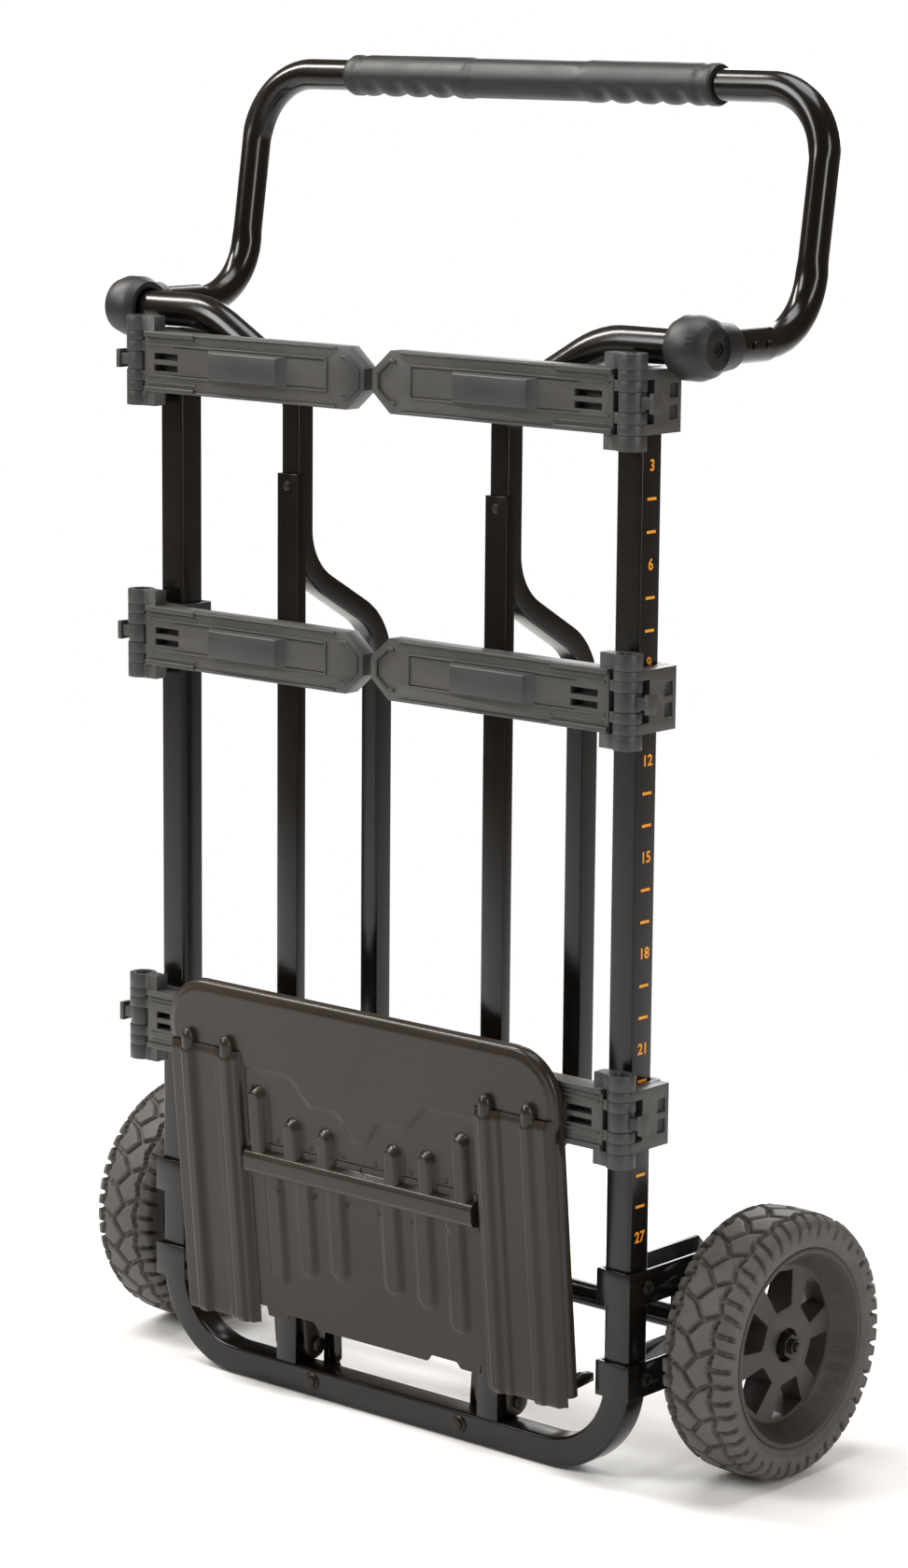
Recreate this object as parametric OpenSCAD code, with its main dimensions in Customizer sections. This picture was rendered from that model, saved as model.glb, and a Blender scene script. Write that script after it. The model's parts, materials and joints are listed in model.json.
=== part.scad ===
// Folding upright tool-box trolley, stowed.
// Millimetres, +Z up, X across the posts, -Y towards the load side, origin on the floor.

/* [Frame] */
// distance between the post centre lines
post_cc = 490; // [450:1:600]
// side of the square post tube
post_w = 25; // [20:0.5:30]
// wall of the post tube
post_wall = 1.6; // [1:0.1:3]
// outer corner radius of the post tube
post_round = 3; // [1:0.5:4]
// centre line radius of the two bottom bends
bend_r = 72; // [50:1:90]
// height of the post tops above the floor
post_top = 886; // [700:1:1100]
// height of a post cap above its tube
cap_h = 4; // [2:0.5:8]
// distance between the inner channel centre lines
chan_cc = 224; // [180:1:260]
// width of an inner channel
chan_w = 22; // [20:0.5:30]
// depth of an inner channel
chan_d = 11; // [8:0.5:16]
// sheet thickness of an inner channel
chan_wall = 1.2; // [0.8:0.1:2.5]
// how far the channel tops stay below the post tops
chan_short = 106; // [80:1:300]

/* [Legs and handle] */
// side of the square leg tube
leg_w = 19; // [15:0.5:24]
// wall of the leg tube
leg_wall = 1.5; // [1:0.1:2.5]
// how far behind the post plane the rear run stands
leg_back = 98; // [70:1:130]
// how far below the post tops the upper bend leaves the front plane
leg_out = 153; // [110:1:250]
// height where the lower bend leaves the rear run
leg_in_z = 288; // [240:1:400]
// slope of the slanted runs from the vertical, upper
leg_slope = 60; // [45:1:70]
// bend radius of the legs
leg_r = 55; // [35:1:80]
// bend radius at the foot of the rear run
leg_foot_r = 42; // [30:1:60]
// radius of the lower handle tubes
low_r = 14.3; // [11:0.1:18]
// wall of the handle tubes
handle_wall = 1.5; // [1:0.1:2.5]
// air between the post caps and the lower handle tube
low_gap = 1.7; // [0.5:0.1:20]
// height of the lower handle tube above the leg tops
low_rise = 74; // [65:1:100]
// distance of a side run of the handle outboard of its post
side_out = 57; // [45:1:80]
// centre line radius of the shallow bend
low_bend_r = 91; // [60:1:120]
// slope of the lower handle tube below the horizontal
low_slope = 30; // [25:1:40]
// centre line radius of the corner elbow
elbow_r = 18; // [16:0.5:30]
// length of the socket run behind the elbow
socket_y = 79; // [60:1:120]
// radius of the hoop tube
hoop_r = 12.7; // [10:0.1:16]
// bend radius of the hoop
hoop_bend = 58; // [40:1:80]
// lean of the hoop from the vertical
hoop_lean = 8.5; // [0:0.5:20]
// height of the grip centre line above the lower handle tube
hoop_h = 192; // [150:1:300]
// outer radius of the grip
grip_r = 17; // [14:0.5:22]
// half length of the grip
grip_half = 196; // [150:1:230]
// depth of the finger scallops
scallop = 2.2; // [1:0.1:3]
// largest radius of the corner bumpers
bumper_r = 25; // [22:0.5:30]

/* [Bracket sets] */
// overall height of a bracket set
set_h = 74; // [60:1:90]
// height of an arm plate
arm_h = 50; // [40:1:60]
// thickness of an arm plate
arm_t = 15; // [10:0.5:20]
// gap between the two arm tips
tip_gap = 9; // [4:0.5:20]
// radius of the hinge knuckles
knuckle_r = 11.4; // [9:0.1:14]
// radius of the hinge pins
pin_r = 3; // [2:0.1:4]
// hinge pin axis outboard of the post centre
hinge_dx = 17; // [14:0.5:22]
// hinge pin axis in front of the post centre
hinge_dy = 31; // [29:0.5:40]
// height of the lowest bracket set above the floor
set_low = 269; // [262:1:300]
// height of the middle bracket set
set_mid = 599; // [480:1:640]
// upper edge of the top bracket set above the post tops
set_over = 16; // [11:0.5:19]
// wall of the clamp around the post
clamp_wall = 5.5; // [4:0.5:8]
// height of the raised block on each arm
block_h = 7; // [4:0.5:10]

/* [Wheels] */
// tyre outer radius
tyre_r = 109; // [90:1:130]
// tyre width
tyre_w = 64; // [45:1:75]
// radius where tyre and hub meet
rim_r = 81; // [65:1:90]
// distance from a post centre to the tyre beside it
wheel_gap = 39; // [30:1:60]
// distance of the axle behind the post plane
axle_y = 98.6; // [85:0.2:120]
// radius of the axle rod
rod_r = 6; // [4:0.5:8]
// radius of the axle tube
axle_r = 10; // [8:0.5:14]

/* [Wheel straps] */
// height of a strap
strap_h = 28.5; // [20:0.5:40]
// thickness of the strap steel
strap_t = 3; // [2:0.5:5]
// gap between strap and post
strap_gap = 1.2; // [0.5:0.1:3]
// underside of the lower strap
strap_low_z = 73.5; // [50:0.5:90]
// underside of the upper strap
strap_high_z = 149; // [140:1:190]

/* [Toe plate] */
// half width of the toe plate
toe_half = 213; // [180:1:222]
// height of the toe plate above its hinge axis
toe_h = 320; // [250:1:330]
// hinge axis height
toe_z = 40; // [38:0.5:45]
// hinge axis behind the post plane
toe_y = 6; // [4:0.5:9]
// forward tilt of the stowed toe plate
toe_tilt = 5.4; // [5.2:0.1:8]
// sheet thickness
toe_t = 2; // [1.5:0.1:3]
// depth of the runners in front of the sheet
runner_d = 9; // [6:0.5:10]
// width of a runner
runner_w = 84; // [60:1:90]
// radius of the toe hinge bolts
toe_bolt_r = 4; // [3:0.5:5]

/* [Fits] */
// radial clearance of every turning joint
run_gap = 0.06; // [0.02:0.01:0.1]
// gap between pieces that slide past each other
slide_gap = 0.35; // [0.3:0.05:0.8]

/* [Hidden] */
$fn = 96;
post_x = post_cc / 2;
chan_x = chan_cc / 2;
chan_top = post_top - chan_short;
low_z = post_top + cap_h + low_gap + low_r;
leg_top = low_z - low_rise;
leg_out_z = post_top - leg_out;
side_x = post_x + side_out;
grip_z = low_z + hoop_h;
set_high = post_top + set_over - set_h;
wheel_in = post_x + wheel_gap;
chan_back = -post_w / 2 + chan_d;
toe_face = toe_z;
runner_in = toe_half - 3 - runner_w;
front_y = -hinge_dy - arm_t / 2;
hub_out = wheel_in + tyre_w;

// a tube run: [length, 0, 0] goes straight, [radius, angle, roll] bends after a roll
module run(segs, i = 0) {
  if (i < len(segs)) {
    s = segs[i];
    if (s[1] == 0) {
      linear_extrude(height = s[0]) children();
      translate([0, 0, s[0]]) run(segs, i + 1) children();
    } else {
      rotate([0, 0, s[2]]) {
        translate([s[0], 0, 0]) rotate([90, 0, 180])
          rotate_extrude(angle = s[1]) translate([s[0], 0]) children();
        translate([s[0] * (1 - cos(s[1])), 0, s[0] * sin(s[1])]) rotate([0, s[1], 0])
          run(segs, i + 1) children();
      }
    }
  }
}

// rounded rectangle centred on the origin
module rounded(w, d, r) {
  square([w - 2 * r, d], center = true);
  square([w, d - 2 * r], center = true);
  for (x = [-1, 1], y = [-1, 1]) translate([x * (w / 2 - r), y * (d / 2 - r)]) circle(r = r);
}

module box_tube(w, wall, r) {
  difference() {
    rounded(w, w, r);
    square([w - 2 * wall, w - 2 * wall], center = true);
  }
}

module ring(r, wall) {
  difference() {
    circle(r = r);
    circle(r = r - wall);
  }
}

// sheet outline in X and Z, given thickness behind y
module slab(y, t) {
  translate([0, y + t, 0]) rotate([90, 0, 0]) linear_extrude(height = t) children();
}

module along_x(x0, x1, y, z, r) {
  translate([x0, y, z]) rotate([0, 90, 0]) cylinder(r = r, h = x1 - x0);
}

module hex_x(x0, x1, y, z, r) {
  translate([x0, y, z]) rotate([0, 90, 0]) cylinder(r = r, h = x1 - x0, $fn = 6);
}

// ---- frame ----
module u_frame() color([0.1, 0.1, 0.1]) {
  straight = post_top - post_w / 2 - bend_r;
  difference() {
    translate([-post_x, 0, post_top]) rotate([0, 180, 0]) rotate([0, 0, 180])
      run([[straight, 0, 0], [bend_r, 90, 0], [post_cc - 2 * bend_r, 0, 0],
          [bend_r, 90, 0], [straight, 0, 0]])
        box_tube(post_w, post_wall, post_round);
    for (s = [-1, 1]) translate([s * 82, 0, post_w / 2 + 1.5]) rotate([90, 0, 0])
      cylinder(r = 2.6, h = post_w + 2, center = true);
  }
}

module post_caps() color([0.2, 0.2, 0.2])
  for (s = [-1, 1]) translate([s * post_x, 0, post_top])
    difference() {
      linear_extrude(height = cap_h) rounded(post_w - 0.6, post_w - 0.6, post_round);
      translate([0, 0, cap_h - 1]) cylinder(r = 5, h = 2);
    }

module channel() color([0.1, 0.1, 0.1])
  translate([chan_x, 0, post_w]) linear_extrude(height = chan_top - post_w) difference() {
    translate([-chan_w / 2, -post_w / 2]) square([chan_w, chan_d]);
    translate([-chan_w / 2 + chan_wall, -post_w / 2 + chan_wall])
      square([chan_w - 2 * chan_wall, chan_d]);
  }
module channel_right() channel();
module channel_left() mirror([1, 0, 0]) channel();

module channel_rivets() color([0.3, 0.3, 0.3])
  for (s = [-1, 1]) translate([s * chan_x, -post_w / 2, chan_top - 10]) rotate([90, 0, 0]) {
    cylinder(r = 4, h = 0.8);
    translate([0, 0, 0.8]) cylinder(r = 2.8, h = 1);
  }

// square bow leg: front plane, slanted run, rear run, and back to the channel.
// one edge of its side view, d behind the centre line, reaching past both ends by over
function leg_edge(d, over) = let(
    c = cos(leg_slope), s = sin(leg_slope), steps = [0 : 0.1 : 1.001],
    slant = (leg_back - 2 * leg_r * (1 - c)) / s,
    z2 = leg_out_z - 2 * leg_r * s - slant * c,
    foot = (leg_back - leg_foot_r * (1 - c) + 5) / s + over,
    r3 = leg_foot_r + d
  ) concat(
    [[d, leg_top + over]],
    [for (t = steps) [leg_r - (leg_r - d) * cos(t * leg_slope),
        leg_out_z - (leg_r - d) * sin(t * leg_slope)]],
    [for (t = steps) [leg_back - leg_r + (leg_r + d) * cos((1 - t) * leg_slope),
        z2 + (leg_r + d) * sin((1 - t) * leg_slope)]],
    [for (t = steps) [leg_back - leg_foot_r + r3 * cos(t * leg_slope),
        leg_in_z - r3 * sin(t * leg_slope)]],
    [[leg_back - leg_foot_r + r3 * c - foot * s, leg_in_z - r3 * s - foot * c]]
  );

module leg_solid(w, over) {
  near = leg_edge(-w / 2, over);
  far = leg_edge(w / 2, over);
  translate([chan_x - w / 2, 0, 0]) rotate([90, 0, 90]) linear_extrude(height = w)
    polygon(concat(far, [for (i = [len(near) - 1 : -1 : 0]) near[i]]));
}

module leg() color([0.1, 0.1, 0.1]) difference() {
  leg_solid(leg_w, 0);
  leg_solid(leg_w - 2 * leg_wall, 1);
  translate([chan_x - leg_w, chan_back - 60, leg_in_z - 160]) cube([2 * leg_w, 60, 160]);
}
module leg_right() leg();
module leg_left() mirror([1, 0, 0]) leg();

// round tube from the leg top, out along X, round the corner and back along +Y
module low_path(r, wall, socket) {
  neck_r = 30;
  arc = 90 - low_slope;
  x0 = chan_x + neck_r * (1 - cos(arc));
  z0 = leg_top + neck_r * sin(arc);
  z1 = low_z - low_bend_r * (1 - cos(low_slope));
  len = (z1 - z0) / sin(low_slope);
  x1 = x0 + len * cos(low_slope) + low_bend_r * sin(low_slope);
  translate([chan_x, 0, leg_top])
    run([[neck_r, arc, 0], [len, 0, 0], [low_bend_r, low_slope, 0],
        [side_x - elbow_r - x1, 0, 0], [elbow_r, 90, 90], [socket - elbow_r, 0, 0]])
      if (wall > 0) ring(r, wall); else circle(r = r);
}

module low_tube() color([0.1, 0.1, 0.1])
  difference() {
    union() {
      low_path(low_r, low_r - hoop_r, socket_y);
      translate([chan_x, 0, leg_top - 3]) linear_extrude(height = 3) difference() {
        circle(r = low_r);
        square([leg_w, leg_w], center = true);
      }
    }
    for (y = [50, 67]) along_x(side_x, side_x + low_r + 1, y, low_z, 2.2);
  }
module low_tube_right() low_tube();
module low_tube_left() mirror([1, 0, 0]) low_tube();

module bumper() color([0.15, 0.15, 0.15])
  difference() {
    union() {
      translate([side_x - 20, 0, low_z]) rotate([0, 90, 0]) rotate_extrude()
        polygon([[0, 0], [bumper_r - 4, 0], [bumper_r, 8], [bumper_r, 22],
            [bumper_r - 3, 31], [bumper_r - 9, 37], [0, 37]]);
      translate([side_x, 10, low_z]) rotate([-90, 0, 0])
        cylinder(r1 = low_r + 6.5, r2 = low_r + 4, h = 22);
    }
    along_x(side_x - 30, side_x + 10, 0, low_z, low_r + 2.2);
    translate([side_x, 0, low_z]) rotate([-90, 0, 0]) cylinder(r = low_r + 1.7, h = 40);
    along_x(side_x + 9, side_x + 20, 0, low_z, 6);
  }
module bumper_right() bumper();
module bumper_left() mirror([1, 0, 0]) bumper();

module bumper_screws() color([0.3, 0.3, 0.3])
  for (s = [0, 1]) mirror([s, 0, 0]) difference() {
    along_x(side_x + 12.4, side_x + 15.8, 0, low_z, 5.8);
    hex_x(side_x + 13.8, side_x + 17, 0, low_z, 2.8);
  }

module hoop() color([0.1, 0.1, 0.1]) {
  up = 90 - hoop_lean;
  tan_low = hoop_bend * tan(up / 2);
  dz = grip_z - low_z;
  side = dz / cos(hoop_lean);
  y_low = 131;
  translate([-side_x, elbow_r + 1, low_z]) rotate([-90, 0, 0]) rotate([0, 0, -90])
    run([[y_low - tan_low - elbow_r - 1, 0, 0], [hoop_bend, up, 0],
        [side - tan_low - hoop_bend, 0, 0], [hoop_bend, 90, 90],
        [2 * side_x - 2 * hoop_bend, 0, 0], [hoop_bend, 90, 0],
        [side - tan_low - hoop_bend, 0, 0], [hoop_bend, up, -90],
        [y_low - tan_low - elbow_r - 1, 0, 0]])
      ring(hoop_r, handle_wall);
}

module socket_rivets() color([0.3, 0.3, 0.3])
  for (s = [0, 1], y = [50, 67]) mirror([s, 0, 0]) {
    along_x(side_x + hoop_r, side_x + low_r, y, low_z, 2.2);
    along_x(side_x + low_r, side_x + low_r + 1.6, y, low_z, 3.6);
  }

// rubber sleeve with finger scallops below and a flatter centre band
module grip() {
  grip_y = 131 + (grip_z - low_z) * tan(hoop_lean);
  color([0.13, 0.13, 0.13]) translate([0, grip_y, grip_z]) difference() {
    union() {
      along_x(-grip_half, grip_half, 0, 0, grip_r - 0.6);
      for (s = [0, 1]) mirror([s, 0, 0]) {
        along_x(62, 178, 0, 0, grip_r);
        along_x(grip_half - 9, grip_half - 2, 0, 0, grip_r);
      }
    }
    along_x(-grip_half - 1, grip_half + 1, 0, 0, hoop_r);
    for (s = [-1, 1], i = [0 : 3])
      translate([s * (86 + i * 26), -grip_r, -grip_r - 9 + scallop])
        rotate([-90, 0, 0]) cylinder(r = 9, h = 2 * grip_r);
  }
}

// ---- wheels and their straps ----
module saddle(z) {
  half = post_w / 2 + strap_gap;
  translate([post_x, 0, z]) linear_extrude(height = strap_h) difference() {
    translate([-half - strap_t, -half - strap_t]) square([2 * (half + strap_t), half + strap_t + 20]);
    translate([-half, -half]) square([2 * half, half + 40]);
  }
}

module strap_upper() color([0.1, 0.1, 0.1])
  difference() {
    union() {
      saddle(strap_high_z);
      for (x = [-1, 1]) translate([post_x + x * (post_w / 2 + strap_gap + strap_t / 2), 0, 0])
        rotate([90, 0, 90]) linear_extrude(height = strap_t, center = true)
          polygon([[20, strap_high_z], [axle_y - 20, strap_high_z], [axle_y - 20, strap_low_z],
              [axle_y + 20, strap_low_z], [axle_y + 20, strap_high_z + strap_h - 8],
              [axle_y + 12, strap_high_z + strap_h], [20, strap_high_z + strap_h]]);
    }
    along_x(post_x - 30, post_x + 30, axle_y, tyre_r, axle_r);
    along_x(post_x - 30, post_x + 30, 5, strap_high_z + strap_h / 2, 3);
  }
module strap_upper_right() strap_upper();
module strap_upper_left() mirror([1, 0, 0]) strap_upper();

module strap_lower() color([0.1, 0.1, 0.1])
  difference() {
    union() {
      saddle(strap_low_z);
      for (x = [-1, 1]) translate([post_x + x * (post_w / 2 + strap_gap + strap_t / 2), 0, 0])
        rotate([90, 0, 90]) linear_extrude(height = strap_t, center = true)
          polygon([[20, strap_low_z], [axle_y - 20, strap_low_z],
              [axle_y - 20, strap_low_z + strap_h], [20, strap_low_z + strap_h]]);
    }
    along_x(post_x - 30, post_x + 30, 5, strap_low_z + strap_h / 2, 3);
  }
module strap_lower_right() strap_lower();
module strap_lower_left() mirror([1, 0, 0]) strap_lower();

module strap_bolts() color([0.25, 0.25, 0.25])
  for (s = [0, 1], z = [strap_low_z, strap_high_z]) mirror([s, 0, 0]) {
    x0 = post_x + post_w / 2 + strap_gap + strap_t;
    along_x(x0, x0 + 2, 5, z + strap_h / 2, 6);
    along_x(x0 + 2, x0 + 3.6, 5, z + strap_h / 2, 4.4);
    along_x(post_x + post_w / 2, x0, 5, z + strap_h / 2, 3);
  }

module axle_tube() color([0.12, 0.12, 0.12]) difference() {
  along_x(-wheel_in + 3, wheel_in - 3, axle_y, tyre_r, axle_r);
  along_x(-wheel_in, wheel_in, axle_y, tyre_r, rod_r);
}

module axle_rod() color([0.4, 0.4, 0.4]) {
  along_x(-hub_out + 8, hub_out - 8, axle_y, tyre_r, rod_r);
  for (s = [0, 1]) mirror([s, 0, 0]) along_x(hub_out - 8, hub_out - 5, axle_y, tyre_r, rod_r - 2);
}

module axle_nuts() color([0.3, 0.3, 0.3])
  for (s = [0, 1]) mirror([s, 0, 0]) difference() {
    union() {
      along_x(hub_out - 24 + slide_gap, hub_out - 22, axle_y, tyre_r, 12);
      hex_x(hub_out - 22, hub_out - 12, axle_y, tyre_r, 10.5);
    }
    along_x(hub_out - 30, hub_out, axle_y, tyre_r, rod_r);
  }

module hub() color([0.17, 0.17, 0.17])
  translate([0, axle_y, tyre_r]) difference() {
    rotate([0, 90, 0]) rotate_extrude()
      polygon([[rod_r + run_gap, wheel_in], [22, wheel_in], [22, wheel_in + 20],
          [60, wheel_in + 24], [70, wheel_in + 6], [rim_r, wheel_in + 6],
          [rim_r, hub_out - 3], [rim_r - 4, hub_out - 3], [64, hub_out - 22],
          [30, hub_out - 17], [14, hub_out - 17], [14, hub_out - 24],
          [rod_r + run_gap, hub_out - 24]]);
    for (i = [0 : 5]) rotate([i * 60 + 8, 0, 0])
      translate([wheel_in - 1, 0, 0]) rotate([90, 0, 90]) linear_extrude(height = tyre_w + 2)
        polygon([[-10, 31], [10, 31], [20, 57], [0, 62], [-20, 57]]);
  }
module hub_right() hub();
module hub_left() mirror([1, 0, 0]) hub();

module tyre() color([0.14, 0.14, 0.14])
  translate([0, axle_y, tyre_r]) rotate([0, 90, 0]) rotate_extrude()
    polygon([[rim_r, wheel_in + 3], [rim_r + 8, wheel_in], [tyre_r - 9, wheel_in],
        [tyre_r - 3, wheel_in + 5], [tyre_r, wheel_in + 16], [tyre_r, hub_out - 16],
        [tyre_r - 3, hub_out - 5], [tyre_r - 9, hub_out], [rim_r + 8, hub_out],
        [rim_r, hub_out - 3]]);
module tyre_right() tyre();
module tyre_left() mirror([1, 0, 0]) tyre();

// ---- rail fittings ----
module rail_screws() color([0.3, 0.3, 0.3])
  for (s = [-1, 1]) translate([s * 82, -post_w / 2, post_w / 2 + 1.5]) rotate([90, 0, 0]) {
    cylinder(r = 6, h = 1);
    translate([0, 0, 1]) cylinder(r = 4.8, h = 2.2);
    translate([0, 0, -post_w]) cylinder(r = 2.5, h = post_w);
  }

module stop_tabs() color([0.1, 0.1, 0.1])
  for (s = [-1, 1]) difference() {
    translate([s * 82, 0, 0]) slab(post_w / 2, 2.5)
      polygon([[-9.5, 4], [9.5, 4], [9.5, 22], [7, 26], [9.5, 30], [7.5, 92], [-5.5, 92], [-9.5, 30]]);
    translate([s * 82, 0, post_w / 2 + 1.5]) rotate([90, 0, 0])
      cylinder(r = 2.6, h = 60, center = true);
  }

module pivot_brackets() color([0.1, 0.1, 0.1])
  for (s = [0, 1]) mirror([s, 0, 0]) difference() {
    union() {
      translate([chan_x - 13, -1, post_w]) cube([26, 13, 3]);
      for (x = [chan_x - 13, chan_x + 10]) {
        translate([x, -1, post_w]) cube([3, 14, toe_z - post_w]);
        along_x(x, x + 3, toe_y, toe_z, 7);
      }
    }
    along_x(chan_x - 20, chan_x + 20, toe_y, toe_z, toe_bolt_r);
  }

lug_x0 = chan_x - 13 - 2 - 3;
lug_x1 = chan_x + 13 + 2;
module toe_bolts() color([0.3, 0.3, 0.3])
  for (s = [0, 1]) mirror([s, 0, 0]) {
    along_x(lug_x0 - slide_gap, lug_x1 + 3 + slide_gap, toe_y, toe_z, toe_bolt_r);
    hex_x(lug_x1 + 3 + slide_gap, lug_x1 + 7 + slide_gap, toe_y, toe_z, 7.2);
    hex_x(lug_x0 - 5 - slide_gap, lug_x0 - slide_gap, toe_y, toe_z, 7.2);
  }

// ---- toe plate, drawn upright about its hinge axis and then tilted ----
module toe_frame() translate([0, toe_y, toe_z]) rotate([toe_tilt, 0, 0]) children();
sheet_y = -toe_face + runner_d;

module toe_outline(inset) {
  r = 46;
  w = toe_half - inset;
  t = toe_h - inset;
  translate([-w, 34 + inset]) square([2 * w, t - r - 34 - inset]);
  translate([-w + r, 34 + inset]) square([2 * (w - r), t - 34 - inset]);
  for (x = [-1, 1]) translate([x * (w - r), t - r]) circle(r = r);
}

module toe_sheet() color([0.25, 0.23, 0.21]) toe_frame() {
  difference() {
    slab(sheet_y, toe_t) toe_outline(0);
    for (x = [-1, 1]) translate([x * chan_x, sheet_y - 1, 30]) rotate([-90, 0, 0])
      cylinder(r = 18, h = toe_t + 2);
  }
}

module runner() color([0.25, 0.23, 0.21]) toe_frame() {
  a = runner_in;
  b = runner_in + runner_w;
  m = (a + b) / 2;
  f = -toe_face;
  s = sheet_y;
  translate([0, 0, 22]) linear_extrude(height = 246) polygon([[a, s], [a + 4, s], [a + 6, s - 3],
      [a + 9, f + 1.8], [m - 14, f + 1.8], [m - 9, f + 6], [m + 9, f + 6], [m + 14, f + 1.8],
      [b - 9, f + 1.8], [b - 6, s - 3], [b - 4, s], [b, s], [b - 3, s - 2], [b - 7, f], [m + 13, f],
      [m + 8, f + 4], [m - 8, f + 4], [m - 13, f], [a + 7, f], [a + 3, s - 2]]);
}
module runner_right() runner();
module runner_left() mirror([1, 0, 0]) runner();

module cross_bar() color([0.25, 0.23, 0.21]) toe_frame() {
  half = runner_in - 0.4;
  s = sheet_y;
  translate([-half, 0, 154]) rotate([90, 0, 90]) linear_extrude(height = 2 * half)
    polygon([[s, 0], [s, 5], [s - 6, 8], [s - 7.5, 11], [s - 7.5, 20], [s - 6, 23], [s, 26],
        [s, 31], [s - 1.6, 31], [s - 1.6, 27.2], [s - 7.4, 24.4], [s - 9, 21], [s - 9, 10],
        [s - 7.4, 6.6], [s - 1.6, 3.8], [s - 1.6, 0]]);
}

module toe_lugs() color([0.2, 0.19, 0.18]) toe_frame() {
  for (s = [0, 1]) mirror([s, 0, 0]) translate([toe_half - 9, sheet_y + toe_t, 36]) cube([7, 30, 7]);
  for (s = [0, 1], x = [lug_x0, lug_x1]) mirror([s, 0, 0]) difference() {
    translate([x, 0, 0]) rotate([90, 0, 90]) linear_extrude(height = 3) union() {
      circle(r = 12);
      polygon([[-12, 0], [-12, 24], [sheet_y + toe_t, 50], [sheet_y + toe_t, 92],
          [sheet_y + toe_t + 6, 92], [9, 30], [12, 0]]);
    }
    along_x(x - 1, x + 4, 0, 0, toe_bolt_r + run_gap);
  }
}

// ---- bracket sets, drawn for the right post at the floor ----
g = slide_gap;
k1 = set_h * 0.16;
k2 = set_h * 0.28;
k3 = set_h * 0.395;
k4 = set_h * 0.61;
k5 = set_h * 0.725;
k6 = set_h * 0.835;
hx = post_x + hinge_dx;
hy = -hinge_dy;

module clamp() color([0.3, 0.3, 0.3])
  difference() {
    union() {
      translate([post_x, 0, k1 + g]) linear_extrude(height = k6 - k1 - 2 * g)
        rounded(post_w + 2 * clamp_wall, post_w + 2 * clamp_wall + 2, 4);
      for (z = [[k1, k2], [k5, k6]]) translate([0, 0, z[0] + g]) {
        translate([hx, hy, 0]) cylinder(r = knuckle_r, h = z[1] - z[0] - 2 * g);
        translate([hx - 8, hy, 0])
          cube([8 + knuckle_r, hinge_dy - post_w / 2 - clamp_wall, z[1] - z[0] - 2 * g]);
      }
      translate([hx + 2, hy + knuckle_r + 1, k1 + g])
        cube([knuckle_r - 2, hinge_dy - knuckle_r + 13, k6 - k1 - 2 * g]);
    }
    translate([post_x, 0, -1]) linear_extrude(height = set_h + 2)
      rounded(post_w + 2 * g, post_w + 2 * g, post_round);
    translate([hx, hy, -1]) cylinder(r = pin_r, h = set_h + 2);
    for (z = [k2 + 2, k4 - 6]) translate([hx + knuckle_r - 2.5, 0, z]) cube([4, 10, 11]);
  }

module arm() {
  x_tip = tip_gap / 2;
  x_end = hx - knuckle_r - 1.2;
  zc = set_h / 2;
  color([0.27, 0.27, 0.27]) difference() {
    union() {
      slab(front_y, arm_t) polygon([[x_tip, zc - 8.5], [x_tip + 19, zc - arm_h / 2],
          [x_end, zc - arm_h / 2], [x_end, zc + arm_h / 2], [x_tip + 19, zc + arm_h / 2],
          [x_tip, zc + 8.5]]);
      slab(front_y + 1, arm_t - 2) polygon([[x_end - 10, 0], [x_end, 0], [x_end, set_h],
          [x_end - 10, set_h]]);
      slab(front_y - block_h, block_h) polygon([[96, zc - 9], [168, zc - 9], [168, zc + 11], [96, zc + 11]]);
      for (z = [[0, k1], [k2, k3], [k4, k5], [k6, set_h]]) {
        translate([hx, hy, z[0]]) cylinder(r = knuckle_r, h = z[1] - z[0]);
        translate([x_end - 1, hy - 7, z[0]]) cube([hx - x_end + 1, 14, z[1] - z[0]]);
      }
    }
    translate([hx, hy, -1]) cylinder(r = pin_r + run_gap, h = set_h + 2);
    translate([hx, hy, set_h - 9]) cylinder(r = 6.5, h = 10);
    translate([hx, hy, -1]) cylinder(r = 5, h = 4);
    translate([x_end - 38, front_y - 1, zc - 7.5]) cube([27, arm_t + 2, 5.5]);
    translate([x_end - 38, front_y - 1, zc + 2]) cube([27, arm_t + 2, 5.5]);
    translate([46, front_y - 1, zc - 11]) cube([170, 2, 1.2]);
    translate([46, front_y - 1, zc + 12.5]) cube([170, 2, 1.2]);
  }
}

module pin() color([0.4, 0.4, 0.4])
  translate([hx, hy, 4]) cylinder(r = pin_r, h = set_h - 14);

module latch() color([0.3, 0.3, 0.3])
  difference() {
    union() {
      translate([hx, hy, k3 + g]) cylinder(r = knuckle_r - 0.8, h = k4 - k3 - 2 * g);
      translate([hx, hy - 3, k3 + g + 3]) cube([22, 5, k4 - k3 - 2 * g - 6]);
      translate([hx + 20, hy - 4.5, k3 + g]) cube([4, 10, k4 - k3 - 2 * g]);
    }
    translate([hx, hy, 0]) cylinder(r = pin_r + run_gap, h = set_h);
  }

module right_at(z) translate([0, 0, z]) children();
module left_at(z) mirror([1, 0, 0]) translate([0, 0, z]) children();

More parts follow.
